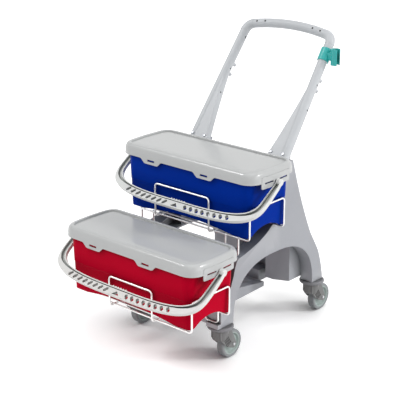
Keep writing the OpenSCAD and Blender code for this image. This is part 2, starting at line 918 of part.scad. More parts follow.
module rear_recess(wall) {
    translate([-rear_recess_half - wall, rear_beam_y - cut, keel_top_z - cut])
        cube([
            2 * (rear_recess_half + wall),
            rear_recess_depth + wall + cut,
            rear_recess_top_z + wall - keel_top_z + cut
        ]);
}

module rear_beam() {
    difference() {
        translate([0, rear_beam_y + rear_beam_depth, 0])
            rotate([90, 0, 0]) linear_extrude(rear_beam_depth) rear_beam_section(0);
        difference() {
            translate([0, rear_beam_y + rear_beam_depth - beam_wall, 0])
                rotate([90, 0, 0])
                    linear_extrude(rear_beam_depth - 2 * beam_wall) rear_beam_section(beam_wall);
            rear_recess(beam_wall);
        }
        rear_recess(0);
    }
}

// The beams' ends have holes for the bolts that hold them to the side frames
module drilled_for_bolts() {
    difference() {
        children();
        both_sides()
            for (place = bolt_places)
                translate([frame_inner_x - 2 * beam_wall, place[0], place[1]])
                    rotate([0, 90, 0]) cylinder(h = 3 * beam_wall, r = bolt_radius + running_clearance);
    }
}

// Side view of the keel, which narrows towards the rear, drawn in by a wall
module keel_side(wall) {
    polygon([
        [front_beam_y + wall, keel_base_z - wall],
        [keel_bend_y, keel_base_z - wall],
        [rear_beam_y - wall, keel_rear_base_z - wall],
        [rear_beam_y - wall, keel_rear_top_z - wall],
        [keel_bend_y, keel_top_z - wall],
        [front_beam_y + wall, keel_top_z - wall]
    ]);
}

// Two rails under the beams, joined at the front and by a tail that stands in the rear beam's recess
module keel() {
    rail_width = keel_half_width - keel_slot_half - 2 * beam_wall;
    slot_front = front_beam_y + front_beam_depth;
    difference() {
        along_x(-keel_half_width, 2 * keel_half_width) keel_side(0);
        both_sides() along_x(keel_slot_half + beam_wall, rail_width) keel_side(beam_wall);
        translate([-keel_slot_half, slot_front, keel_base_z - cut])
            cube([
                2 * keel_slot_half,
                rear_beam_y - keel_bridge - slot_front,
                keel_top_z - keel_base_z + 2 * cut
            ]);
    }
    translate([-keel_tail_half, rear_beam_y - beam_wall, keel_rear_top_z - beam_wall])
        cube([
            2 * keel_tail_half,
            rear_recess_depth + beam_wall,
            keel_tail_top_z - keel_rear_top_z + beam_wall
        ]);
}

// Bolts from inside the beams into the side frames
module bolt_set() {
    both_sides()
        for (place = bolt_places)
            translate([frame_inner_x - beam_wall, place[0], place[1]])
                rotate([0, 90, 0]) {
                    cylinder(h = bolt_length - beam_wall, r = bolt_radius);
                    translate([0, 0, -bolt_head_length])
                        cylinder(h = bolt_head_length, r = bolt_head_radius, $fn = 6);
                }
}

// The handle's own frame: X across, Z up along the lean, Y to the back
module on_handle() {
    translate([0, handle_base_y, frame_top_z]) rotate([-handle_lean, 0, 0]) children();
}

// A stretch of round tube on a circle in the handle's plane
module tube_arc(x, s, sweep_radius, radius, from, to) {
    rotate([90, 0, 0])
        translate([x, s, 0])
            rotate(from) rotate_extrude(angle = to - from) translate([sweep_radius, 0]) circle(radius);
}

module handle_tube() {
    both_sides() {
        translate([foot_half_span, 0, 0])
            rotate([0, -tube_inset, 0])
                translate([0, 0, -tube_tail]) cylinder(h = tube_run + tube_tail, r = tube_radius);
        tube_arc(
            corner_x, corner_s, corner_radius, tube_radius + corner_swell,
            tube_inset - corner_lap, bar_end_angle + corner_lap
        );
    }
    tube_arc(0, bar_centre, bar_bow, tube_radius, bar_end_angle, 180 - bar_end_angle, $fn = bar_facets);
}

// The web that widens the upright towards its foot
module handle_web() {
    rotate([90, 0, 0])
        translate([0, 0, -web_back])
            linear_extrude(web_back - web_front)
                polygon(concat(
                    [[foot_half_span, -tube_tail], [web_half_gap, -tube_tail]],
                    bend_points(
                        [web_half_gap, 0],
                        [web_half_gap + web_flare, web_length / 3],
                        [foot_half_span - web_length * tan(tube_inset) - tube_radius / 2, web_length]
                    ),
                    [[foot_half_span - web_length * tan(tube_inset), web_length]]
                ));
}

module hook_lugs() {
    for (s = lug_places)
        translate([foot_half_span - s * tan(tube_inset), 0, s])
            rotate([-90, 0, 0]) cylinder(h = tube_radius + lug_length, r = lug_radius);
}

module handle_screw_holes() {
    on_handle()
        for (x = [screw_inner_x, screw_outer_x])
            translate([x, -2 * tube_radius, screw_s])
                rotate([-90, 0, 0])
                    cylinder(h = 2 * tube_radius + tongue_back + cut, r = screw_radius + running_clearance);
}

// Accessory holes through the bar and through the uprights
module accessory_holes() {
    for (x = [-outer_hole_x, -inner_hole_x, inner_hole_x, outer_hole_x])
        translate([x, -2 * tube_radius, bar_centre + sqrt(pow(bar_bow, 2) - x * x)])
            rotate([-90, 0, 0]) cylinder(h = 4 * tube_radius, r = bar_hole_radius);
    both_sides()
        for (s = upright_hole_places)
            translate([foot_half_span - s * tan(tube_inset) - 3 * tube_radius, 0, s])
                rotate([0, 90, 0]) cylinder(h = 6 * tube_radius, r = upright_hole_radius);
}

module handle_shape() {
    difference() {
        on_handle() {
            handle_tube();
            both_sides() {
                handle_web();
                hook_lugs();
            }
        }
        translate([-frame_gap, 0, frame_top_z - frame_gap]) cube([2 * frame_gap, frame_gap, frame_gap]);
        on_handle() accessory_holes();
        both_sides() handle_screw_holes();
    }
}

// One handle screw along the handle's Y, with its head on the given face
module handle_screw(x, face) {
    translate([x, face, screw_s])
        rotate([-90, 0, 0]) {
            cylinder(h = tongue_back - face, r = screw_radius);
            translate([0, 0, -screw_head_length]) cylinder(h = screw_head_length, r = screw_head_radius);
        }
}

module screw_set() {
    both_sides()
        on_handle() {
            handle_screw(screw_inner_x, web_front);
            handle_screw(screw_outer_x, -tube_radius);
        }
}

// Places its children on the right upright, with Z along the tube
module on_clip_tube() {
    on_handle()
        translate([clip_tube_x, 0, clip_place])
            rotate([0, -tube_inset, 0]) children();
}

// Hole and counterbore of the clip's screw
module clip_screw_hole() {
    translate([clip_tube_x, clip_y, clip_z])
        rotate([0, 90, 0]) cylinder(h = jaw_x - clip_tube_x, r = screw_radius + running_clearance);
    translate([clip_head_x, clip_y, clip_z])
        rotate([0, 90, 0]) cylinder(h = jaw_x - clip_head_x, r = screw_head_radius + running_clearance);
}

module clip_sleeve() {
    difference() {
        union() {
            on_clip_tube()
                translate([0, 0, -sleeve_length / 2]) cylinder(h = sleeve_length, r = sleeve_radius);
            translate([clip_tube_x, clip_y - pad_depth / 2, clip_z - pad_height / 2])
                cube([jaw_x - jaw_radius + jaw_wall - clip_tube_x, pad_depth, pad_height]);
        }
        on_clip_tube()
            translate([0, 0, -sleeve_length])
                cylinder(h = 2 * sleeve_length, r = tube_radius + running_clearance);
        translate([jaw_x, clip_y, clip_z - jaw_height])
            cylinder(h = 2 * jaw_height, r = jaw_radius);
        clip_screw_hole();
    }
}

module clip_jaw() {
    difference() {
        translate([jaw_x, clip_y, clip_z - jaw_height / 2]) cylinder(h = jaw_height, r = jaw_radius);
        translate([jaw_x, clip_y, clip_z - jaw_height]) cylinder(h = 2 * jaw_height, r = pole_radius);
        translate([jaw_x, clip_y - jaw_mouth / 2, clip_z - jaw_height])
            cube([2 * jaw_radius, jaw_mouth, 2 * jaw_height]);
        clip_screw_hole();
    }
}

// Screw from inside the jaw into the sleeve's pad, with its head sunk in the jaw's wall
module clip_screw() {
    tip_x = clip_tube_x + tube_radius + rest_gap;
    translate([tip_x, clip_y, clip_z])
        rotate([0, 90, 0]) cylinder(h = clip_head_x - tip_x + clip_head_length, r = screw_radius);
    translate([clip_head_x, clip_y, clip_z])
        rotate([0, 90, 0]) cylinder(h = clip_head_length, r = screw_head_radius);
}

// Castor pieces, each placed at a stem's X and Y
module bumper(place) {
    translate([place[0], place[1], bumper_base_z])
        difference() {
            rotate_extrude($fn = 64)
                union() {
                    square([bumper_radius - bumper_thickness / 2, bumper_thickness]);
                    translate([bumper_radius - bumper_thickness / 2, bumper_thickness / 2])
                        circle(bumper_thickness / 2);
                }
            translate([0, 0, -cut])
                cylinder(h = bumper_thickness + 2 * cut, r = stem_radius + running_clearance);
        }
}

module stem(place) {
    translate([place[0], place[1], head_base_z])
        cylinder(h = leg_base_z + stem_depth - frame_wall - head_base_z, r = stem_radius);
}

// Side view of a fork arm, from the swivel head to the axle
module fork_arm_side() {
    polygon(concat(
        [[arm_front_inset - head_radius, head_top_z]],
        bend_points(
            [arm_front_inset - head_radius, head_base_z - arm_brow],
            arm_belly,
            [castor_trail - axle_boss_radius / 2, axle_z - arm_chin]
        ),
        [
            [castor_trail + axle_boss_radius, axle_z + arm_heel],
            [head_radius + arm_back, head_base_z + arm_heel],
            [head_radius - arm_front_inset, head_top_z]
        ]
    ));
    translate([castor_trail, axle_z]) circle(axle_boss_radius);
}

// Slanting grooves in a fork arm's outer face, in its side view
module arm_grooves() {
    translate(arm_groove_place)
        rotate(arm_groove_slant)
            for (i = [0 : arm_groove_count - 1])
                translate([(i - (arm_groove_count - 1) / 2) * arm_groove_pitch, 0])
                    square([arm_groove_width, arm_groove_length], center = true);
}

// Rounded front of the fork, below its head
module fork_nose() {
    translate([0, 0, head_base_z - nose_drop])
        difference() {
            cylinder(h = nose_drop + cut, r = head_radius);
            translate([0, 0, -cut]) cylinder(h = nose_drop + 3 * cut, r = head_radius - fork_wall);
            translate([-2 * head_radius, -nose_back, -cut])
                cube([4 * head_radius, 4 * head_radius, nose_drop + 3 * cut]);
        }
}

module fork(place) {
    translate([place[0], place[1], 0])
        difference() {
            union() {
                translate([0, 0, head_base_z]) cylinder(h = head_top_z - head_base_z, r = head_radius);
                both_sides() along_x(fork_gap, fork_wall) fork_arm_side();
                fork_nose();
            }
            both_sides()
                along_x(fork_gap + fork_wall - arm_groove_depth, arm_groove_depth + cut) arm_grooves();
            translate([0, 0, head_base_z - cut])
                cylinder(h = head_top_z - head_base_z + 2 * cut, r = stem_radius + running_clearance);
            translate([-2 * fork_gap, castor_trail, axle_z])
                rotate([0, 90, 0]) cylinder(h = 4 * fork_gap, r = axle_radius + running_clearance);
        }
}

module axle(place) {
    reach = fork_gap + fork_wall + axle_overhang;
    translate([place[0] - reach, place[1] + castor_trail, axle_z])
        rotate([0, 90, 0]) cylinder(h = 2 * reach, r = axle_radius);
}

module wheel(place) {
    translate([place[0], place[1] + castor_trail, axle_z])
        rotate([0, 90, 0])
            rotate_extrude($fn = 64)
                polygon([
                    [axle_radius + running_clearance, -hub_half - cut],
                    [axle_boss_radius, -hub_half - cut],
                    [axle_boss_radius, -hub_half / 2],
                    [rim_radius - tyre_thickness, -hub_half / 2],
                    [rim_radius - tyre_thickness / 2, -hub_half],
                    [rim_radius, -hub_half],
                    [rim_radius, hub_half],
                    [rim_radius - tyre_thickness / 2, hub_half],
                    [rim_radius - tyre_thickness, hub_half / 2],
                    [axle_boss_radius, hub_half / 2],
                    [axle_boss_radius, hub_half + cut],
                    [axle_radius + running_clearance, hub_half + cut]
                ]);
}

module tyre(place) {
    shoulder = tyre_thickness / 2;
    translate([place[0], place[1] + castor_trail, axle_z])
        rotate([0, 90, 0])
            rotate_extrude($fn = 64)
                union() {
                    translate([rim_radius, -tyre_width / 2]) square([tyre_thickness - shoulder, tyre_width]);
                    translate([rim_radius, shoulder - tyre_width / 2])
                        square([tyre_thickness, tyre_width - 2 * shoulder]);
                    for (side = [-1, 1])
                        translate([wheel_radius - shoulder, side * (tyre_width / 2 - shoulder)])
                            circle(shoulder);
                }
}

module side_frame_left() { color(grey) mirror([1, 0, 0]) side_frame(); }
module side_frame_right() { color(grey) side_frame(); }
module front_cross_beam() { color(grey) drilled_for_bolts() front_beam(); }
module rear_cross_beam() { color(grey) drilled_for_bolts() rear_beam(); }
module keel_beam() { color(grey) keel(); }
module beam_bolts() { color(steel) bolt_set(); }
module push_handle() { color(grey) handle_shape(); }
module handle_screws() { color(tyre_grey) screw_set(); }
module mop_clip_sleeve() { color(teal) clip_sleeve(); }
module mop_clip_jaw() { color(teal) clip_jaw(); }
module mop_clip_screw() { color(steel) clip_screw(); }
module lower_bucket() { color(red) place_lower() bucket_shell(); }
module lower_lid() { color(lid_grey) place_lower() lid_shell(); }
module lower_bail() { color(pale_grey) place_lower() bail_shape(); }
module upper_bucket() { color(blue) place_upper() bucket_shell(); }
module upper_lid() { color(lid_grey) place_upper() lid_shell(); }
module upper_bail() { color(pale_grey) place_upper() bail_shape(); }

module lower_cradle() {
    color(steel)
        seat_lower()
            cradle(
                lower_loop_left, lower_loop_right, lower_loop_height,
                front_beam_y + front_beam_depth / 2 - lower_bucket_y,
                rear_cross_wire + stirrup_lap, toe_z + wire_radius - lower_seat_z,
                lower_loop_left - wire_diameter
            );
}

module upper_cradle() {
    color(steel)
        seat_upper()
            cradle(
                upper_loop_left, upper_loop_right, upper_loop_height,
                rear_cross_wire + wire_diameter,
                front_cross_wire + stirrup_lap, rim_front_z + wire_radius - upper_seat_z,
                -stirrup_outer_x - wire_diameter
            );
}

side_frame_left();
side_frame_right();
front_cross_beam();
rear_cross_beam();
keel_beam();
beam_bolts();
push_handle();
handle_screws();
lower_cradle();
upper_cradle();
mop_clip_sleeve();
mop_clip_jaw();
mop_clip_screw();
lower_bucket();
lower_lid();
lower_bail();
upper_bucket();
upper_lid();
upper_bail();
color(grey) bumper(front_left);  // front_left_bumper
color(steel) stem(front_left);  // front_left_stem
color(grey) fork(front_left);  // front_left_fork
color(steel) axle(front_left);  // front_left_axle
color(pale_grey) wheel(front_left);  // front_left_wheel
color(tyre_grey) tyre(front_left);  // front_left_tyre
color(grey) bumper(front_right);  // front_right_bumper
color(steel) stem(front_right);  // front_right_stem
color(grey) fork(front_right);  // front_right_fork
color(steel) axle(front_right);  // front_right_axle
color(pale_grey) wheel(front_right);  // front_right_wheel
color(tyre_grey) tyre(front_right);  // front_right_tyre
color(grey) bumper(rear_left);  // rear_left_bumper
color(steel) stem(rear_left);  // rear_left_stem
color(grey) fork(rear_left);  // rear_left_fork
color(steel) axle(rear_left);  // rear_left_axle
color(pale_grey) wheel(rear_left);  // rear_left_wheel
color(tyre_grey) tyre(rear_left);  // rear_left_tyre
color(grey) bumper(rear_right);  // rear_right_bumper
color(steel) stem(rear_right);  // rear_right_stem
color(grey) fork(rear_right);  // rear_right_fork
color(steel) axle(rear_right);  // rear_right_axle
color(pale_grey) wheel(rear_right);  // rear_right_wheel
color(tyre_grey) tyre(rear_right);  // rear_right_tyre
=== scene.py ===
"""Two-bucket cleaning trolley: the finish of its surfaces, its moulded shapes and a plain studio."""
import json
import math

import bmesh
import bpy
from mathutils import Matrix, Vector
from mathutils.geometry import tessellate_polygon


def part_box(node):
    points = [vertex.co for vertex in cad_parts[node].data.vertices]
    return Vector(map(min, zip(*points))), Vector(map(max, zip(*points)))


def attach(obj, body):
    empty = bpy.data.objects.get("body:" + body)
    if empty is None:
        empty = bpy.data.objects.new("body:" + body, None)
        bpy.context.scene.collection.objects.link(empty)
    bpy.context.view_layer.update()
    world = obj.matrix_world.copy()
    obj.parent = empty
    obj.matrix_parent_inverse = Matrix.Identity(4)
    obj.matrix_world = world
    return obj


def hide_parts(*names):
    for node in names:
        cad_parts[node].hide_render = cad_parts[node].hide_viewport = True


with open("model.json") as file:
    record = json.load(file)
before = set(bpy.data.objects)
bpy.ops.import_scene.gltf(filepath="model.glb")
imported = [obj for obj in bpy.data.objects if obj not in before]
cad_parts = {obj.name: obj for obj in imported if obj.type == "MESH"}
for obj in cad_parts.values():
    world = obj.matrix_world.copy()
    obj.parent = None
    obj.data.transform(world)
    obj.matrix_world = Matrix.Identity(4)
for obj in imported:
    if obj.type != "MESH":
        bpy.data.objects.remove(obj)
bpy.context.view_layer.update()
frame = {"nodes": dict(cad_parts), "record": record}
nodes = frame["nodes"]

# Metres in a millimetre: the object's lengths are written in millimetres, the studio's in metres
MM = 0.001


# Places and sizes that come from the frame

def node_box(node):
    """Lowest and highest corner of a CAD node, to a tenth of a millimetre."""
    return [[round(value / MM, 1) for value in corner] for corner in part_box(node)]


def seat_of(level):
    """Middle of a bucket's feet."""
    low, high = node_box(level + "_bucket")
    return (low[0] + high[0]) / 2, (low[1] + high[1]) / 2, low[2]


SEATS = {level: seat_of(level) for level in ("lower", "upper")}
LID_LOW, LID_HIGH = node_box("lower_lid")

# Height from the feet to the top of the closed lid
BUCKET_HEIGHT = LID_HIGH[2] - SEATS["lower"][2]


# Shader nodes

# Part of a noise's range over which a tint or a roughness runs from one end to the other
NOISE_LOW, NOISE_HIGH = 0.3, 0.7

# Numbers of the Mix node's sockets when it mixes colours
MIX_FIRST, MIX_SECOND, MIX_RESULT = 6, 7, 2


def new_material(name):
    material = bpy.data.materials.new(name)
    material.use_nodes = True
    tree = material.node_tree
    shader = tree.nodes["Principled BSDF"]
    return material, tree, shader


def add_node(tree, kind, **inputs):
    node = tree.nodes.new(kind)
    for key, value in inputs.items():
        node.inputs[key.replace("_", " ")].default_value = value
    return node


def object_place(tree):
    return tree.nodes.new("ShaderNodeTexCoord").outputs["Object"]


def noise(tree, place, scale, detail, roughness):
    node = add_node(tree, "ShaderNodeTexNoise", Scale=scale, Detail=detail, Roughness=roughness)
    tree.links.new(place, node.inputs["Vector"])
    return node.outputs["Fac"]


def tint_between(tree, factor, low, high):
    """Colour that follows a noise from one colour to another."""
    node = tree.nodes.new("ShaderNodeValToRGB")
    stops = (NOISE_LOW, low), (NOISE_HIGH, high)
    for element, (position, colour) in zip(node.color_ramp.elements, stops):
        element.position = position
        element.color = (*colour, 1.0)
    tree.links.new(factor, node.inputs["Fac"])
    return node.outputs["Color"]


def to_range(tree, factor, low, high, from_low=NOISE_LOW, from_high=NOISE_HIGH):
    limits = dict(From_Min=from_low, From_Max=from_high, To_Min=low, To_Max=high)
    node = add_node(tree, "ShaderNodeMapRange", **limits)
    tree.links.new(factor, node.inputs["Value"])
    return node.outputs["Result"]


def mix_colour(tree, factor, first, second, blend="MIX"):
    """Colour of a socket, mixed with a fixed colour by a factor."""
    node = tree.nodes.new("ShaderNodeMix")
    node.data_type = "RGBA"
    node.blend_type = blend
    tree.links.new(factor, node.inputs["Factor"])
    tree.links.new(first, node.inputs[MIX_FIRST])
    node.inputs[MIX_SECOND].default_value = (*second, 1.0)
    return node.outputs[MIX_RESULT]


def bump(tree, shader, height, strength, depth):
    """Relief from a height, with its depth in millimetres."""
    node = add_node(tree, "ShaderNodeBump", Strength=strength, Distance=depth * MM)
    tree.links.new(height, node.inputs["Height"])
    tree.links.new(node.outputs["Normal"], shader.inputs["Normal"])


def shade(colour, amount):
    return tuple(min(1.0, c * amount) for c in colour)


# Materials

# Noises as scale, detail and roughness
DRIFT_NOISE = (5.0, 3.0, 0.5)
SCUFF_NOISE = (60.0, 6.0, 0.65)
STREAK_NOISE = (220.0, 4.0, 0.6)
SPOT_NOISE = (35.0, 5.0, 0.6)

# The grain has a scale and a depth in each material, and these are its detail, roughness and strength
GRAIN_NOISE = (2.0, 0.5)
GRAIN_STRENGTH = 0.5

# Pointiness at which an edge starts to pale and is palest, and how far its pale colour lies towards white:
# light wear, and where strongly set, as on the frame, a painted rim highlight
EDGE_START, EDGE_FULL = 0.52, 0.6
EDGE_PALER = 0.3

# Share of open sky at which the painted shade in creases and under overhangs is darkest, and the colour that
# the painted shade multiplies by
PAINTED_SHADE_SHUT = 0.25
PAINTED_SHADE_COLOUR = (0.10, 0.12, 0.11)

# Share of the metals' colour in their dull and bright spots, and the strength and depth of drawn streaks
DULL_SPOT, BRIGHT_SPOT = 0.9, 1.06
STREAK_STRENGTH = 0.2
STREAK_DEPTH = 0.05


def moulded(name, colour, rough, drift, grain=900.0, grain_depth=0.06, specular=0.5, edge_wear_and_highlight=0.12,
            painted_shade=0.0, painted_shade_reach=30.0, painted_shade_open=0.6, alone=True):
    """Moulded plastic with slow tint drift, fine grain, scuffed gloss, paler edges and any darker creases.

    The darker creases are painted shade, also under overhangs: they darken by as much as the shade's
    strength argument says, where surfaces within its reach argument in millimetres shelter them, and fade
    out where its open argument's share of the sky shows. Other pieces shelter a surface too, unless alone is
    set.
    """
    material, tree, shader = new_material(name)
    place = object_place(tree)
    slow = noise(tree, place, *DRIFT_NOISE)
    tint = tint_between(tree, slow, shade(colour, 1 - drift), shade(colour, 1 + drift))
    # Paler edges by pointiness: light wear, and a painted rim highlight where set strong, as on the frame
    edges = tree.nodes.new("ShaderNodeNewGeometry").outputs["Pointiness"]
    paler = [c + (1 - c) * EDGE_PALER for c in colour]
    tint = mix_colour(tree, to_range(tree, edges, 0.0, edge_wear_and_highlight, EDGE_START, EDGE_FULL), tint, paler)
    # Painted shade: the colour darkens where nearby surfaces shelter it, standing in for shade in creases
    # and under overhangs
    if painted_shade:
        shelter = add_node(tree, "ShaderNodeAmbientOcclusion", Distance=painted_shade_reach * MM)
        shelter.only_local = alone
        painted_shade_amount = to_range(tree, shelter.outputs["AO"], painted_shade, 0.0, PAINTED_SHADE_SHUT, painted_shade_open)
        tint = mix_colour(tree, painted_shade_amount, tint, PAINTED_SHADE_COLOUR, "MULTIPLY")
    tree.links.new(tint, shader.inputs["Base Color"])
    scuffs = noise(tree, place, *SCUFF_NOISE)
    tree.links.new(to_range(tree, scuffs, *rough), shader.inputs["Roughness"])
    shader.inputs["Specular IOR Level"].default_value = specular
    bump(tree, shader, noise(tree, place, grain, *GRAIN_NOISE), GRAIN_STRENGTH, grain_depth)
    return material


def plated(name, colour, rough):
    """Bright metal with faint drawn streaks and dull spots."""
    material, tree, shader = new_material(name)
    place = object_place(tree)
    streaks = noise(tree, place, *STREAK_NOISE)
    spots = noise(tree, place, *SPOT_NOISE)
    tint = tint_between(tree, spots, shade(colour, DULL_SPOT), shade(colour, BRIGHT_SPOT))
    tree.links.new(tint, shader.inputs["Base Color"])
    shader.inputs["Metallic"].default_value = 1.0
    tree.links.new(to_range(tree, streaks, *rough), shader.inputs["Roughness"])
    bump(tree, shader, streaks, STREAK_STRENGTH, STREAK_DEPTH)
    return material


# The buckets' painted shade darkens the band under the lid and the wall beside nearby parts
BUCKET_PLASTIC = dict(
    rough=(0.26, 0.34), grain_depth=0.01, specular=0.015, edge_wear_and_highlight=0.02,
    painted_shade=0.9, painted_shade_reach=60.0, painted_shade_open=1.0, alone=False,
)
# Each plastic's painted shade stands in for shade in its creases: the frame's arches and inner faces, the
# handle's grooves, the lid's step, the bail's channel and the castors' sheltered sides
PLASTICS = {
    # The frame's strong pale edges are a painted rim highlight
    "frame_grey": dict(
        colour=(0.375, 0.385, 0.415), rough=(0.42, 0.55), drift=0.03, edge_wear_and_highlight=0.4,
        painted_shade=0.85, painted_shade_reach=120.0, painted_shade_open=0.75, alone=False,
    ),
    "handle_grey": dict(
        colour=(0.59, 0.61, 0.635), rough=(0.40, 0.52), drift=0.03,
        painted_shade=0.95, painted_shade_reach=12.0, painted_shade_open=0.8,
    ),
    "clip_teal": dict(colour=(0.03, 0.46, 0.44), rough=(0.3, 0.42), drift=0.06, painted_shade=0.8),
    "bucket_red": dict(colour=(0.55, 0.001, 0.022), drift=0.04, **BUCKET_PLASTIC),
    "bucket_blue": dict(colour=(0.0005, 0.030, 0.34), drift=0.05, **BUCKET_PLASTIC),
    "lid_grey": dict(
        colour=(0.55, 0.56, 0.56), rough=(0.16, 0.22), drift=0.012, grain_depth=0.01, edge_wear_and_highlight=0.05,
        painted_shade=0.6, painted_shade_reach=10.0, painted_shade_open=0.8,
    ),
    "bail_grey": dict(
        colour=(0.80, 0.81, 0.79), rough=(0.34, 0.46), drift=0.03, painted_shade=0.95, painted_shade_open=0.72,
    ),
    "castor_grey": dict(
        colour=(0.18, 0.18, 0.18), rough=(0.4, 0.55), drift=0.05, painted_shade=0.9, painted_shade_open=0.9, alone=False,
    ),
    "bumper_grey": dict(
        colour=(0.22, 0.22, 0.235), rough=(0.5, 0.6), drift=0.05,
        painted_shade=0.95, painted_shade_reach=50.0, painted_shade_open=0.9, alone=False,
    ),
    "wheel_grey": dict(colour=(0.37, 0.44, 0.42), rough=(0.35, 0.5), drift=0.05, painted_shade=0.8),
    "tyre_grey": dict(
        colour=(0.27, 0.285, 0.295), rough=(0.55, 0.7), drift=0.06, grain=300.0, grain_depth=0.3,
    ),
}
METALS = {
    "screw_grey": dict(colour=(0.30, 0.31, 0.33), rough=(0.3, 0.45)),
    "wire_chrome": dict(colour=(0.88, 0.88, 0.87), rough=(0.30, 0.42)),
    "fastener_steel": dict(colour=(0.62, 0.63, 0.65), rough=(0.22, 0.36)),
}
MATERIALS = {name: moulded(name, **look) for name, look in PLASTICS.items()}
MATERIALS.update({name: plated(name, **look) for name, look in METALS.items()})


# Mesh building

# Points of a piece, and of a CAD node, that lie nearer than this are joined
POINT_GAP = 0.01
NODE_POINT_GAP = 0.02

# Sides of a round pin and the width of its softened ends
PIN_SIDES = 24
PIN_LIP = 0.6

# Edges sharper than this many degrees stay sharp, or are rounded in this many steps
EDGE_ANGLE = 34.0
ROUNDING_STEPS = 3

# How strongly large faces lead the shading
LARGE_FACE_WEIGHT = 80


class Shape:
    """Points and faces of one piece, gathered in millimetres."""

    def __init__(self):
        self.points = []
        self.faces = []

    def add(self, points):
        """Takes in points and gives back their numbers."""
        first = len(self.points)
        self.points.extend(tuple(p) for p in points)
        return list(range(first, len(self.points)))

    def loft(self, rings):
        """Skin between closed rings of equal length, with the first and the last ring closed."""
        rows = [self.add(ring) for ring in rings]
        count = len(rows[0])
        for low, high in zip(rows, rows[1:]):
            for i in range(count):
                j = (i + 1) % count
                self.faces.append((low[i], low[j], high[j], high[i]))
        self.faces.append(tuple(reversed(rows[0])))
        self.faces.append(tuple(rows[-1]))

    def plate(self, outline, holes, low, high):
        """Flat outline with holes; low and high turn a flat point into the two faces' points."""
        loops = [outline, *holes]
        flat = [[Vector((p[0], p[1], 0.0)) for p in loop] for loop in loops]
        triangles = tessellate_polygon(flat)
        every = [p for loop in loops for p in loop]
        bottom = self.add(low(p) for p in every)
        top = self.add(high(p) for p in every)
        for a, b, c in triangles:
            self.faces.append((bottom[a], bottom[c], bottom[b]))
            self.faces.append((top[a], top[b], top[c]))
        start = 0
        for loop in loops:
            count = len(loop)
            for i in range(count):
                a, b = start + i, start + (i + 1) % count
                self.faces.append((bottom[a], bottom[b], top[b], top[a]))
            start += count

    def pin(self, place, length, radius):
        """Round pin along X with softened ends."""
        turns = [2 * math.pi * i / PIN_SIDES for i in range(PIN_SIDES)]
        x, y, z = place
        section = (
            (0, radius - PIN_LIP), (PIN_LIP, radius), (length - PIN_LIP, radius), (length, radius - PIN_LIP),
        )
        self.loft([
            [(x + along, y + r * math.cos(turn), z + r * math.sin(turn)) for turn in turns]
            for along, r in section
        ])

    def box(self, low, high):
        ring = [(low[0], low[1]), (high[0], low[1]), (high[0], high[1]), (low[0], high[1])]
        self.loft([at(ring, z) for z in (low[2], high[2])])

    def mesh(self, name, shift):
        mesh = bpy.data.meshes.new(name)
        place = Vector(shift)
        mesh.from_pydata([(Vector(p) + place) * MM for p in self.points], [], self.faces)
        work = bmesh.new()
        work.from_mesh(mesh)
        bmesh.ops.remove_doubles(work, verts=work.verts, dist=POINT_GAP * MM)
        bmesh.ops.recalc_face_normals(work, faces=work.faces)
        work.to_mesh(mesh)
        work.free()
        return mesh

    def piece(self, name, body, slot, *stands_for, shift, angle=EDGE_ANGLE, bevel=0.0, cuts=None):
        """The shape as an object, less its cuts, with its finish and the body that it rides on."""
        piece = bpy.data.objects.new(name, self.mesh(name, shift))
        bpy.context.scene.collection.objects.link(piece)
        if cuts:
            carve(piece, cuts.mesh(name + "_cuts", shift))
        piece.data.materials.append(MATERIALS[slot])
        soften(piece, bevel, angle)
        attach(piece, body)
        if stands_for:
            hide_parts(*stands_for)


def carve(piece, mesh):
    """Takes a mesh out of a piece for good."""
    tool = bpy.data.objects.new(mesh.name, mesh)
    bpy.context.scene.collection.objects.link(tool)
    cut = piece.modifiers.new("cut", "BOOLEAN")
    cut.object = tool
    cut.solver = "EXACT"
    carved = bpy.data.meshes.new_from_object(piece.evaluated_get(bpy.context.evaluated_depsgraph_get()))
    piece.modifiers.clear()
    piece.data = carved
    bpy.data.objects.remove(tool)


def soften(piece, bevel, angle):
    """Smooth shading led by the large faces, with rounded edges where a width in millimetres is given."""
    piece.data.polygons.foreach_set("use_smooth", [True] * len(piece.data.polygons))
    if bevel:
        rounding = piece.modifiers.new("rounding", "BEVEL")
        rounding.width = bevel * MM
        rounding.segments = ROUNDING_STEPS
        rounding.limit_method = "ANGLE"
        rounding.angle_limit = math.radians(angle)
    else:
        edge = piece.modifiers.new("edges", "EDGE_SPLIT")
        edge.split_angle = math.radians(angle)
    normals = piece.modifiers.new("normals", "WEIGHTED_NORMAL")
    normals.weight = LARGE_FACE_WEIGHT


def arc(centre, radius, start, end, count):
    """Points on a circle between two angles in degrees, both ends kept."""
    turns = [math.radians(start + (end - start) * i / count) for i in range(count + 1)]
    return [(centre[0] + radius * math.cos(t), centre[1] + radius * math.sin(t)) for t in turns]


def spread(a, b, count):
    """Points inside a straight stretch, both ends left out."""
    return [tuple(p + (q - p) * i / count for p, q in zip(a, b)) for i in range(1, count)]


def four_ways(quarter):
    """A closed outline from its first quarter, which runs from the +X end to the +Y side."""
    half = quarter + [(-x, y) for x, y in reversed(quarter)]
    return half + [(-x, -y) for x, y in half]


def at(outline, z):
    """An outline as a ring at a height."""
    return [(x, y, z) for x, y in outline]


# Steps along half a side, half an end and a corner, alike for lids and buckets so that their rings join
SIDE_STEPS, END_STEPS, CORNER_STEPS = 36, 8, 10


# Lids

# How far the end clips stand proud of the solid lid's outline
END_CLIP_PROUD = 1.5
LID_LENGTH = LID_HIGH[0] - LID_LOW[0] - 2 * END_CLIP_PROUD
LID_WIDTH = LID_HIGH[1] - LID_LOW[1]
LID_CORNER = 48.0
LID_WALL = 2.5
SKIRT_DEPTH = 38.0

# Radius of the outward bow of the lid's short ends
LID_BOW = 700.0

# Tabs on the long sides: distance from the middle of their pair, and the pair's shift, to the left in front
# and to the right behind
TAB_OFFSET = 116.0
TAB_SHIFT = 27.0

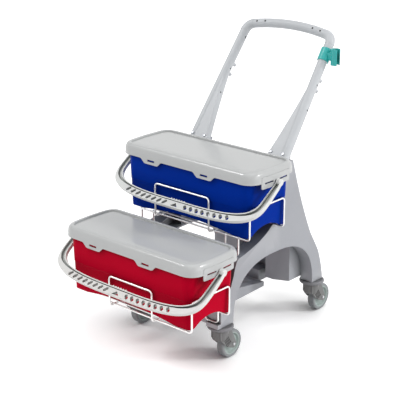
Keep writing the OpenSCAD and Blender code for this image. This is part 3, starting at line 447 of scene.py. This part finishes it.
# Half a tab's width where it leaves the skirt and where it is level, its drop, and its slot
TAB_HALF = 48.0
TAB_LEVEL_HALF = 27.0
TAB_DROP = 16.0
TAB_SLOT_HALF = 16.0
TAB_SLOT_HEIGHT = 7.0

# Slots in each end: distance from the middle, half their length, depth under the lid's top and height
END_SLOT_MIDDLES = (-36.0, 36.0)
END_SLOT_HALF = 20.0
END_SLOT_DROP = 39.0
END_SLOT_HEIGHT = 5.0
END_SLOT_LOW = BUCKET_HEIGHT - END_SLOT_DROP - END_SLOT_HEIGHT / 2
END_SLOT_HIGH = END_SLOT_LOW + END_SLOT_HEIGHT

# How far the cutting tools reach in from the lid's outline and out past it
TAB_TOOL_IN, TAB_TOOL_OUT = 8.0, 4.0
END_TOOL_IN, END_TOOL_OUT = 12.0, 6.0

# Width of the band along the long sides that hangs down with the tabs
TAB_BAND = 4.5

# Sections as inset from the outline and height over the lid's top: panel, border and underside
PANEL = ((46.0, -3.0), (40.0, -3.1), (32.0, -3.7), (26.0, -5.0), (22.6, -6.4), (21.6, -6.6))
BORDER = ((21.0, -6.2), (20.0, -0.8), (19.4, -0.15), (18.6, 0.0), (16.0, 0.0))
UNDERSIDE = ((LID_WALL, -16.0), (6.0, -9.4), (12.0, -8.5), (46.0, -8.4))

# Depth of the rounded shoulder between the border and the skirt
SHOULDER_DEPTH = 25.0
SHOULDER_STEPS = 10

# Rolled hem of the skirt as inset, height over the skirt's edge and share of a tab's drop
HEM = (
    (0.0, 8.0, 0.15), (0.0, 5.0, 0.9), (-0.2, 4.2, 1.0), (-0.7, 3.2, 1.0),
    (-0.9, 2.0, 1.0), (-0.7, 0.8, 1.0), (0.0, 0.1, 1.0), (1.0, 0.0, 1.0),
    (2.2, 0.2, 1.0), (LID_WALL, 0.8, 1.0), (LID_WALL, 8.0, 0.15),
)

# Plate on each end: half its width, its clipped corners, its foot and crown under the lid's top, its edges
PLATE_HALF = 70.0
PLATE_CORNER = 3.0
PLATE_FOOT = 57.0
PLATE_CROWN = 17.0
PLATE_PROUD = 1.4
PLATE_STEPS = 8
PLATE_BEVEL = 1.0
PLATE_EDGE_ANGLE = 50.0

# Depth of the bail's pivot under the lid's top, and the plate's notch over it
PIVOT_DROP = 45.0
NOTCH_RADIUS = 8.0
NOTCH_SHOULDER = 40.0
NOTCH_START, NOTCH_END, NOTCH_STEPS = 160, 20, 6


def lid_outline(inset):
    """Plan of the lid with its bowed ends, drawn in by an inset."""
    half = LID_WIDTH / 2
    centre = LID_LENGTH / 2 - LID_BOW
    cy = half - LID_CORNER
    cx = centre + math.sqrt((LID_BOW - LID_CORNER) ** 2 - cy ** 2)
    lean = math.degrees(math.atan2(cy, cx - centre))
    end = arc((centre, 0), LID_BOW - inset, 0, lean, END_STEPS)[:-1]
    turn = arc((cx, cy), LID_CORNER - inset, lean, 90, CORNER_STEPS)
    side = spread(turn[-1], (0, half - inset), SIDE_STEPS)
    return four_ways(end + turn + side)


def tab_places():
    """Middle of each tab along X, with the side it is on."""
    return [(side * TAB_SHIFT + place, side) for side in (-1, 1) for place in (-TAB_OFFSET, TAB_OFFSET)]


def tab_drop(x, y):
    """How far the lid's lower edge hangs down in a tab at a place on its plan."""
    if abs(y) < LID_WIDTH / 2 - TAB_BAND:
        return 0.0
    away = min(abs(x - middle) for middle, side in tab_places() if side * y > 0)
    t = min(1.0, max(0.0, (TAB_HALF - away) / (TAB_HALF - TAB_LEVEL_HALF)))
    return TAB_DROP * t * t * (3 - 2 * t)


def lid_profile():
    """Section of the lid, down the skirt and back inside, as inset, height and share of a tab's drop."""
    border = BORDER[-1][0]
    turns = [math.radians(90 / SHOULDER_STEPS * i) for i in range(1, SHOULDER_STEPS + 1)]
    shoulder = [(border * (1 - math.sin(turn)), SHOULDER_DEPTH * (math.cos(turn) - 1)) for turn in turns]
    top = [(inset, height, 0.0) for inset, height in (*PANEL, *BORDER, *shoulder)]
    hem = [(inset, height - SKIRT_DEPTH, share) for inset, height, share in HEM]
    return top + hem + [(inset, height, 0.0) for inset, height in UNDERSIDE]


def lid_cuts():
    """The slots in the tabs and in the ends of a lid, as solids to take out."""
    cuts = Shape()
    skirt_edge = BUCKET_HEIGHT - SKIRT_DEPTH
    for middle, side in tab_places():
        near, far = sorted((side * (LID_WIDTH / 2 - TAB_TOOL_IN), side * (LID_WIDTH / 2 + TAB_TOOL_OUT)))
        low = (middle - TAB_SLOT_HALF, near, skirt_edge - TAB_SLOT_HEIGHT)
        cuts.box(low, (middle + TAB_SLOT_HALF, far, skirt_edge))
    for end in (-1, 1):
        near, far = sorted((end * (LID_LENGTH / 2 - END_TOOL_IN), end * (LID_LENGTH / 2 + END_TOOL_OUT)))
        for middle in END_SLOT_MIDDLES:
            low = (near, middle - END_SLOT_HALF, END_SLOT_LOW)
            cuts.box(low, (far, middle + END_SLOT_HALF, END_SLOT_HIGH))
    return cuts


def end_plate(side):
    """Bowed plate on an end of the lid, with two slots and a notch over the pivot."""
    foot, crown = BUCKET_HEIGHT - PLATE_FOOT, BUCKET_HEIGHT - PLATE_CROWN
    inner = PLATE_HALF - PLATE_CORNER
    left = [
        (-PLATE_HALF, foot + PLATE_CORNER), (-inner, foot),
        (-NOTCH_RADIUS, foot), (-NOTCH_RADIUS, BUCKET_HEIGHT - NOTCH_SHOULDER),
    ]
    pivot = (0, BUCKET_HEIGHT - PIVOT_DROP)
    notch = arc(pivot, NOTCH_RADIUS, NOTCH_START, NOTCH_END, NOTCH_STEPS)[1:-1]
    right = [(-y, z) for y, z in reversed(left)]
    top = [(PLATE_HALF, crown - PLATE_CORNER), (inner, crown)]
    top += spread((inner, crown), (-inner, crown), PLATE_STEPS)
    top += [(-inner, crown), (-PLATE_HALF, crown - PLATE_CORNER)]
    slots = []
    for middle in END_SLOT_MIDDLES:
        near, far = middle - END_SLOT_HALF, middle + END_SLOT_HALF
        lower, upper = END_SLOT_LOW, END_SLOT_HIGH
        slots.append([(near, lower), (far, lower), (far, upper), (near, upper)])

    def bowed(radius):
        centre = LID_LENGTH / 2 - LID_BOW
        return lambda p: (side * (centre + math.sqrt(radius ** 2 - p[0] ** 2)), p[0], p[1])

    shape = Shape()
    shape.plate(left + notch + right + top, slots, bowed(LID_BOW - LID_WALL), bowed(LID_BOW + PLATE_PROUD))
    return shape


def lid_piece(level):
    """Lid of a bucket, and the plates on its two ends."""
    body = level + "_cover"
    seat = SEATS[level]
    shape = Shape()
    shape.loft([
        [(x, y, BUCKET_HEIGHT + height - share * tab_drop(x, y)) for x, y in lid_outline(inset)]
        for inset, height, share in lid_profile()
    ])
    shape.piece(level + "_lid_moulding", body, "lid_grey", level + "_lid", shift=seat, cuts=lid_cuts())
    for end, side in (("left", -1), ("right", 1)):
        name = level + "_lid_clip_" + end
        plate = end_plate(side)
        plate.piece(name, body, "lid_grey", shift=seat, bevel=PLATE_BEVEL, angle=PLATE_EDGE_ANGLE)


# Buckets

BUCKET_SLOTS = {"lower": "bucket_red", "upper": "bucket_blue"}

# Length and width at the feet
BASE_LENGTH, BASE_WIDTH = 512.0, 200.0
BUCKET_WALL = 3.0

# Radius of the upright corners at the feet, and how far they open and the walls lean out at the lid's top
BASE_CORNER = 16.0
CORNER_OPENING = 21.0
WALL_DRAFT = 11.0

# Half the length and the rise of the arched bottom edges
SIDE_ARCH_HALF, SIDE_ARCH_RISE = 194.0, 15.0
END_ARCH_HALF, END_ARCH_RISE = 75.8, 24.0

# Rings under the floor as outward offset and height
FLOOR_UNDERSIDE = ((-6.0, 24.0), (-3.4, 23.0))

# Top of the arches inside the wall, and how much the plan grows there to reach the arches
INNER_ARCH_TOP = 22.5
INNER_REACH_X, INNER_REACH_Y = 1.02, 1.03

# Inset of the soles from the wall's foot, and the height of the wall's first ring over them
SOLE_INSET = 0.8
SOLE_ROUNDING = 1.0

# Heights of the wall's rings under and over its moulded step, and the step as height and outward offset
LOWER_WALL = (30.0, 60.0, 90.0, 95.6)
STEP = ((96.6, 0.15), (97.2, 0.7))
UPPER_WALL = (98.2, 104.0, 140.0, 180.0, 198.0, 202.0)
STEP_OUT = 1.0

# Rim under the lid as inset from the lid's outline and height
RIM = ((5.8, 202.8), (5.0, 203.6), (5.0, 206.4), (6.0, 207.4))

# Lip over the rim as outward offset and height, with the height that its plan is taken at
LIP = ((0.0, 212.6), (-1.5, 213.2), (-3.0, 212.2))
LIP_PLAN_HEIGHT = 212.0

# Inside from the foot of the wall onto the floor, as outward offset and height
INSIDE = ((-3.0, 33.0), (-4.5, 29.0), (-9.0, 27.0))

# Stubs that the bail turns on
STUB_ROOT, STUB_END = 264.8, 307.7
STUB_RADIUS = 6.0

# Catches that show in the tabs' slots
CATCH_ROOT, CATCH_END = 109.0, 115.0
CATCH_LOW, CATCH_HIGH = 178.0, 188.0


def bucket_outline(height, out):
    """Plan of the bucket's wall at a height, moved outwards."""
    share = height / BUCKET_HEIGHT
    reach = WALL_DRAFT * share + out
    corner = BASE_CORNER + CORNER_OPENING * share + out
    half_x, half_y = BASE_LENGTH / 2 + reach - corner, BASE_WIDTH / 2 + reach - corner
    end = [(half_x + corner, half_y * i / END_STEPS) for i in range(END_STEPS)]
    turn = arc((half_x, half_y), corner, 0, 90, CORNER_STEPS)
    side = spread(turn[-1], (0, half_y + corner), SIDE_STEPS)
    return four_ways(end + turn + side)


def foot_line(x, y):
    """Height of the bucket's arched bottom edge at a place on its plan."""
    rises = [0.0]
    for along, across, half, rise, width in (
        (x, y, SIDE_ARCH_HALF, SIDE_ARCH_RISE, BASE_WIDTH),
        (y, x, END_ARCH_HALF, END_ARCH_RISE, BASE_LENGTH),
    ):
        radius = (half * half + rise * rise) / (2 * rise)
        if abs(across) > width / 2 - BUCKET_WALL and abs(along) < half:
            rises.append(rise - radius + math.sqrt(radius * radius - along * along))
    return max(rises)


def bucket_rings():
    """Rings of the bucket from under its floor round the feet, up the wall, over the lip and down inside."""
    rings = [at(bucket_outline(0, out), z) for out, z in FLOOR_UNDERSIDE]
    plan = bucket_outline(0, -BUCKET_WALL)
    inner = [(x, y, foot_line(x * INNER_REACH_X, y * INNER_REACH_Y)) for x, y in plan]
    rings.append([(x, y, min(INNER_ARCH_TOP, z)) for x, y, z in inner])
    for out, lift in ((-SOLE_INSET, 0.0), (0.0, SOLE_ROUNDING)):
        rings.append([(x, y, foot_line(x, y) + lift) for x, y in bucket_outline(0, out)])
    wall = [(z, 0.0) for z in LOWER_WALL] + list(STEP) + [(z, STEP_OUT) for z in UPPER_WALL]
    rings += [at(bucket_outline(z, out), z) for z, out in wall]
    rings += [at(lid_outline(inset), z) for inset, z in RIM]
    rings += [at(bucket_outline(LIP_PLAN_HEIGHT, out), z) for out, z in LIP]
    rings += [at(bucket_outline(z, out), z) for out, z in INSIDE]
    return rings


def bucket_piece(level):
    """Bucket with its pivot stubs and the catches for its lid."""
    shape = Shape()
    shape.loft(bucket_rings())
    for start in (-STUB_END, STUB_ROOT):
        shape.pin((start, 0, BUCKET_HEIGHT - PIVOT_DROP), STUB_END - STUB_ROOT, STUB_RADIUS)
    for middle, side in tab_places():
        near, far = sorted((side * CATCH_ROOT, side * CATCH_END))
        shape.box((middle - TAB_SLOT_HALF, near, CATCH_LOW), (middle + TAB_SLOT_HALF, far, CATCH_HIGH))
    name = level + "_bucket"
    shape.piece(name + "_moulding", level + "_pail", BUCKET_SLOTS[level], name, shift=SEATS[level])


for level in SEATS:
    lid_piece(level)
    bucket_piece(level)


# CAD nodes that show as they are, with softened edges

# Width of the rounded edges by a word in the node's name
ROUNDING = {
    "side_frame": 8.0, "front_cross_beam": 3.0, "rear_cross_beam": 4.0, "keel_beam": 2.5, "bail": 1.4,
    "mop_clip_sleeve": 1.2, "mop_clip_jaw": 1.2, "fork": 0.5, "axle": 0.8, "handle_screws": 0.8,
}

# Angles in degrees: faces that lie flat, edges that are rounded and edges that only stay sharp
FLAT_ANGLE = 0.5
ROUNDED_ANGLE = 40.0
SHARP_ANGLE = 32.0


def dress(row):
    """Gives a CAD node its material and softens its edges."""
    name = row["node"]
    piece = nodes[name]
    finish = "bumper_grey" if name.endswith("_bumper") else row["material_slot"]
    piece.data.materials.clear()
    piece.data.materials.append(MATERIALS[finish])
    weld = piece.modifiers.new("weld", "WELD")
    weld.merge_threshold = NODE_POINT_GAP * MM
    width = next((w for word, w in ROUNDING.items() if word in name), 0.0)
    if width:
        flat = piece.modifiers.new("flat", "DECIMATE")
        flat.decimate_type = "DISSOLVE"
        flat.angle_limit = math.radians(FLAT_ANGLE)
    soften(piece, width, ROUNDED_ANGLE if width else SHARP_ANGLE)


for row in frame["record"]["subparts"]:
    dress(row)


# Studio, in metres

FLOOR_SIZE = 60.0
FLOOR_TINTS = (0.86, 0.86, 0.86), (0.88, 0.88, 0.88)
FLOOR_NOISE = (1.5, 2.0, 0.5)
FLOOR_ROUGHNESS = 0.9
FLOOR_SPECULAR = 0.1

# The floor's own glow, and the painted shadow that dims it where the object shelters the floor: its reach,
# its lean and the range over which it fades
FLOOR_GLOW = 0.5
PAINTED_SHADOW_REACH = 0.2
PAINTED_SHADOW_LEAN = dict(X=0.6, Y=0.4, Z=0.69)
PAINTED_SHADOW_SHUT, PAINTED_SHADOW_OPEN = 0.58, 0.95

WHITE = (1.0, 1.0, 1.0, 1.0)
BLACK = (0.0, 0.0, 0.0, 1.0)

# Strength of the world as light and as it is seen
WORLD_LIGHT, WORLD_SEEN = 0.31, 1.0

# Suns as name, strength, spread in degrees and the direction that they shine from
SUNS = (
    ("key", 1.1, 12.0, (0.73, 0.47, 0.5)),
    ("top", 0.65, 60.0, (0.1, -0.1, 1.0)),
    ("left_key", 0.95, 14.0, (-0.55, -0.5, 0.73)),
    ("right_fill", 0.65, 40.0, (1.0, 0.05, 0.22)),
    ("front_fill", 0.15, 70.0, (0.15, -1.0, 0.6)),
)

# Place of the camera, with its turn round the object and its tilt down in degrees
CAMERA_PLACE = (2.3854, -2.7607, 1.7475)
CAMERA_AZIMUTH, CAMERA_ELEVATION = 41.31, 19.38

# Sensor and focal length in millimetres
CAMERA_SENSOR, CAMERA_LENS = 36.0, 103.9


def seen_directly(tree):
    """1 for what the camera or a reflection sees, 0 for light on the object."""
    path = tree.nodes.new("ShaderNodeLightPath")
    either = tree.nodes.new("ShaderNodeMath")
    either.operation = "MAXIMUM"
    tree.links.new(path.outputs["Is Camera Ray"], either.inputs[0])
    tree.links.new(path.outputs["Is Glossy Ray"], either.inputs[1])
    return either.outputs[0]


def floor_glow_and_painted_shadow(tree):
    """Glow of the floor, for the camera and for reflections only, dimmed where the object shelters it."""
    # Painted shadow: the glow fades where the object shelters the floor towards the lights, standing in for
    # the object's cast shadow
    shelter = add_node(tree, "ShaderNodeAmbientOcclusion", Distance=PAINTED_SHADOW_REACH)
    lean = add_node(tree, "ShaderNodeCombineXYZ", **PAINTED_SHADOW_LEAN)
    tree.links.new(lean.outputs["Vector"], shelter.inputs["Normal"])
    strength = to_range(tree, shelter.outputs["AO"], 0.0, FLOOR_GLOW, PAINTED_SHADOW_SHUT, PAINTED_SHADOW_OPEN)
    glow = add_node(tree, "ShaderNodeEmission", Color=WHITE)
    tree.links.new(strength, glow.inputs["Strength"])
    dark = add_node(tree, "ShaderNodeEmission", Color=BLACK, Strength=0.0)
    pick = tree.nodes.new("ShaderNodeMixShader")
    tree.links.new(seen_directly(tree), pick.inputs["Fac"])
    tree.links.new(dark.outputs[0], pick.inputs[1])
    tree.links.new(glow.outputs[0], pick.inputs[2])
    return pick.outputs[0]


def studio_floor():
    bpy.ops.mesh.primitive_plane_add(size=FLOOR_SIZE, location=(0.0, 0.0, 0.0))
    floor = bpy.context.object
    floor.name = "studio_floor"
    material, tree, shader = new_material("studio_floor")
    tint = tint_between(tree, noise(tree, object_place(tree), *FLOOR_NOISE), *FLOOR_TINTS)
    tree.links.new(tint, shader.inputs["Base Color"])
    shader.inputs["Roughness"].default_value = FLOOR_ROUGHNESS
    shader.inputs["Specular IOR Level"].default_value = FLOOR_SPECULAR
    both = tree.nodes.new("ShaderNodeAddShader")
    tree.links.new(shader.outputs[0], both.inputs[0])
    tree.links.new(floor_glow_and_painted_shadow(tree), both.inputs[1])
    tree.links.new(both.outputs[0], tree.nodes["Material Output"].inputs["Surface"])
    floor.data.materials.append(material)


def studio_world():
    world = bpy.data.worlds.new("studio")
    bpy.context.scene.world = world
    world.use_nodes = True
    tree = world.node_tree
    background = tree.nodes["Background"]
    background.inputs["Color"].default_value = WHITE
    strength = to_range(tree, seen_directly(tree), WORLD_LIGHT, WORLD_SEEN, 0.0, 1.0)
    tree.links.new(strength, background.inputs["Strength"])


def studio_suns():
    for name, strength, softness, source in SUNS:
        sun = bpy.data.lights.new(name, "SUN")
        sun.energy = strength
        sun.angle = math.radians(softness)
        lamp = bpy.data.objects.new(name, sun)
        bpy.context.scene.collection.objects.link(lamp)
        lamp.rotation_euler = Vector(source).to_track_quat("Z", "Y").to_euler()


def camera():
    lens = bpy.data.cameras.new("camera")
    lens.sensor_width = CAMERA_SENSOR
    lens.lens = CAMERA_LENS
    eye = bpy.data.objects.new("camera", lens)
    bpy.context.scene.collection.objects.link(eye)
    eye.location = CAMERA_PLACE
    eye.rotation_euler = (math.pi / 2 - math.radians(CAMERA_ELEVATION), 0.0, math.radians(CAMERA_AZIMUTH))
    bpy.context.scene.camera = eye


studio_floor()
studio_world()
studio_suns()
camera()
bpy.context.scene.view_settings.view_transform = "Standard"
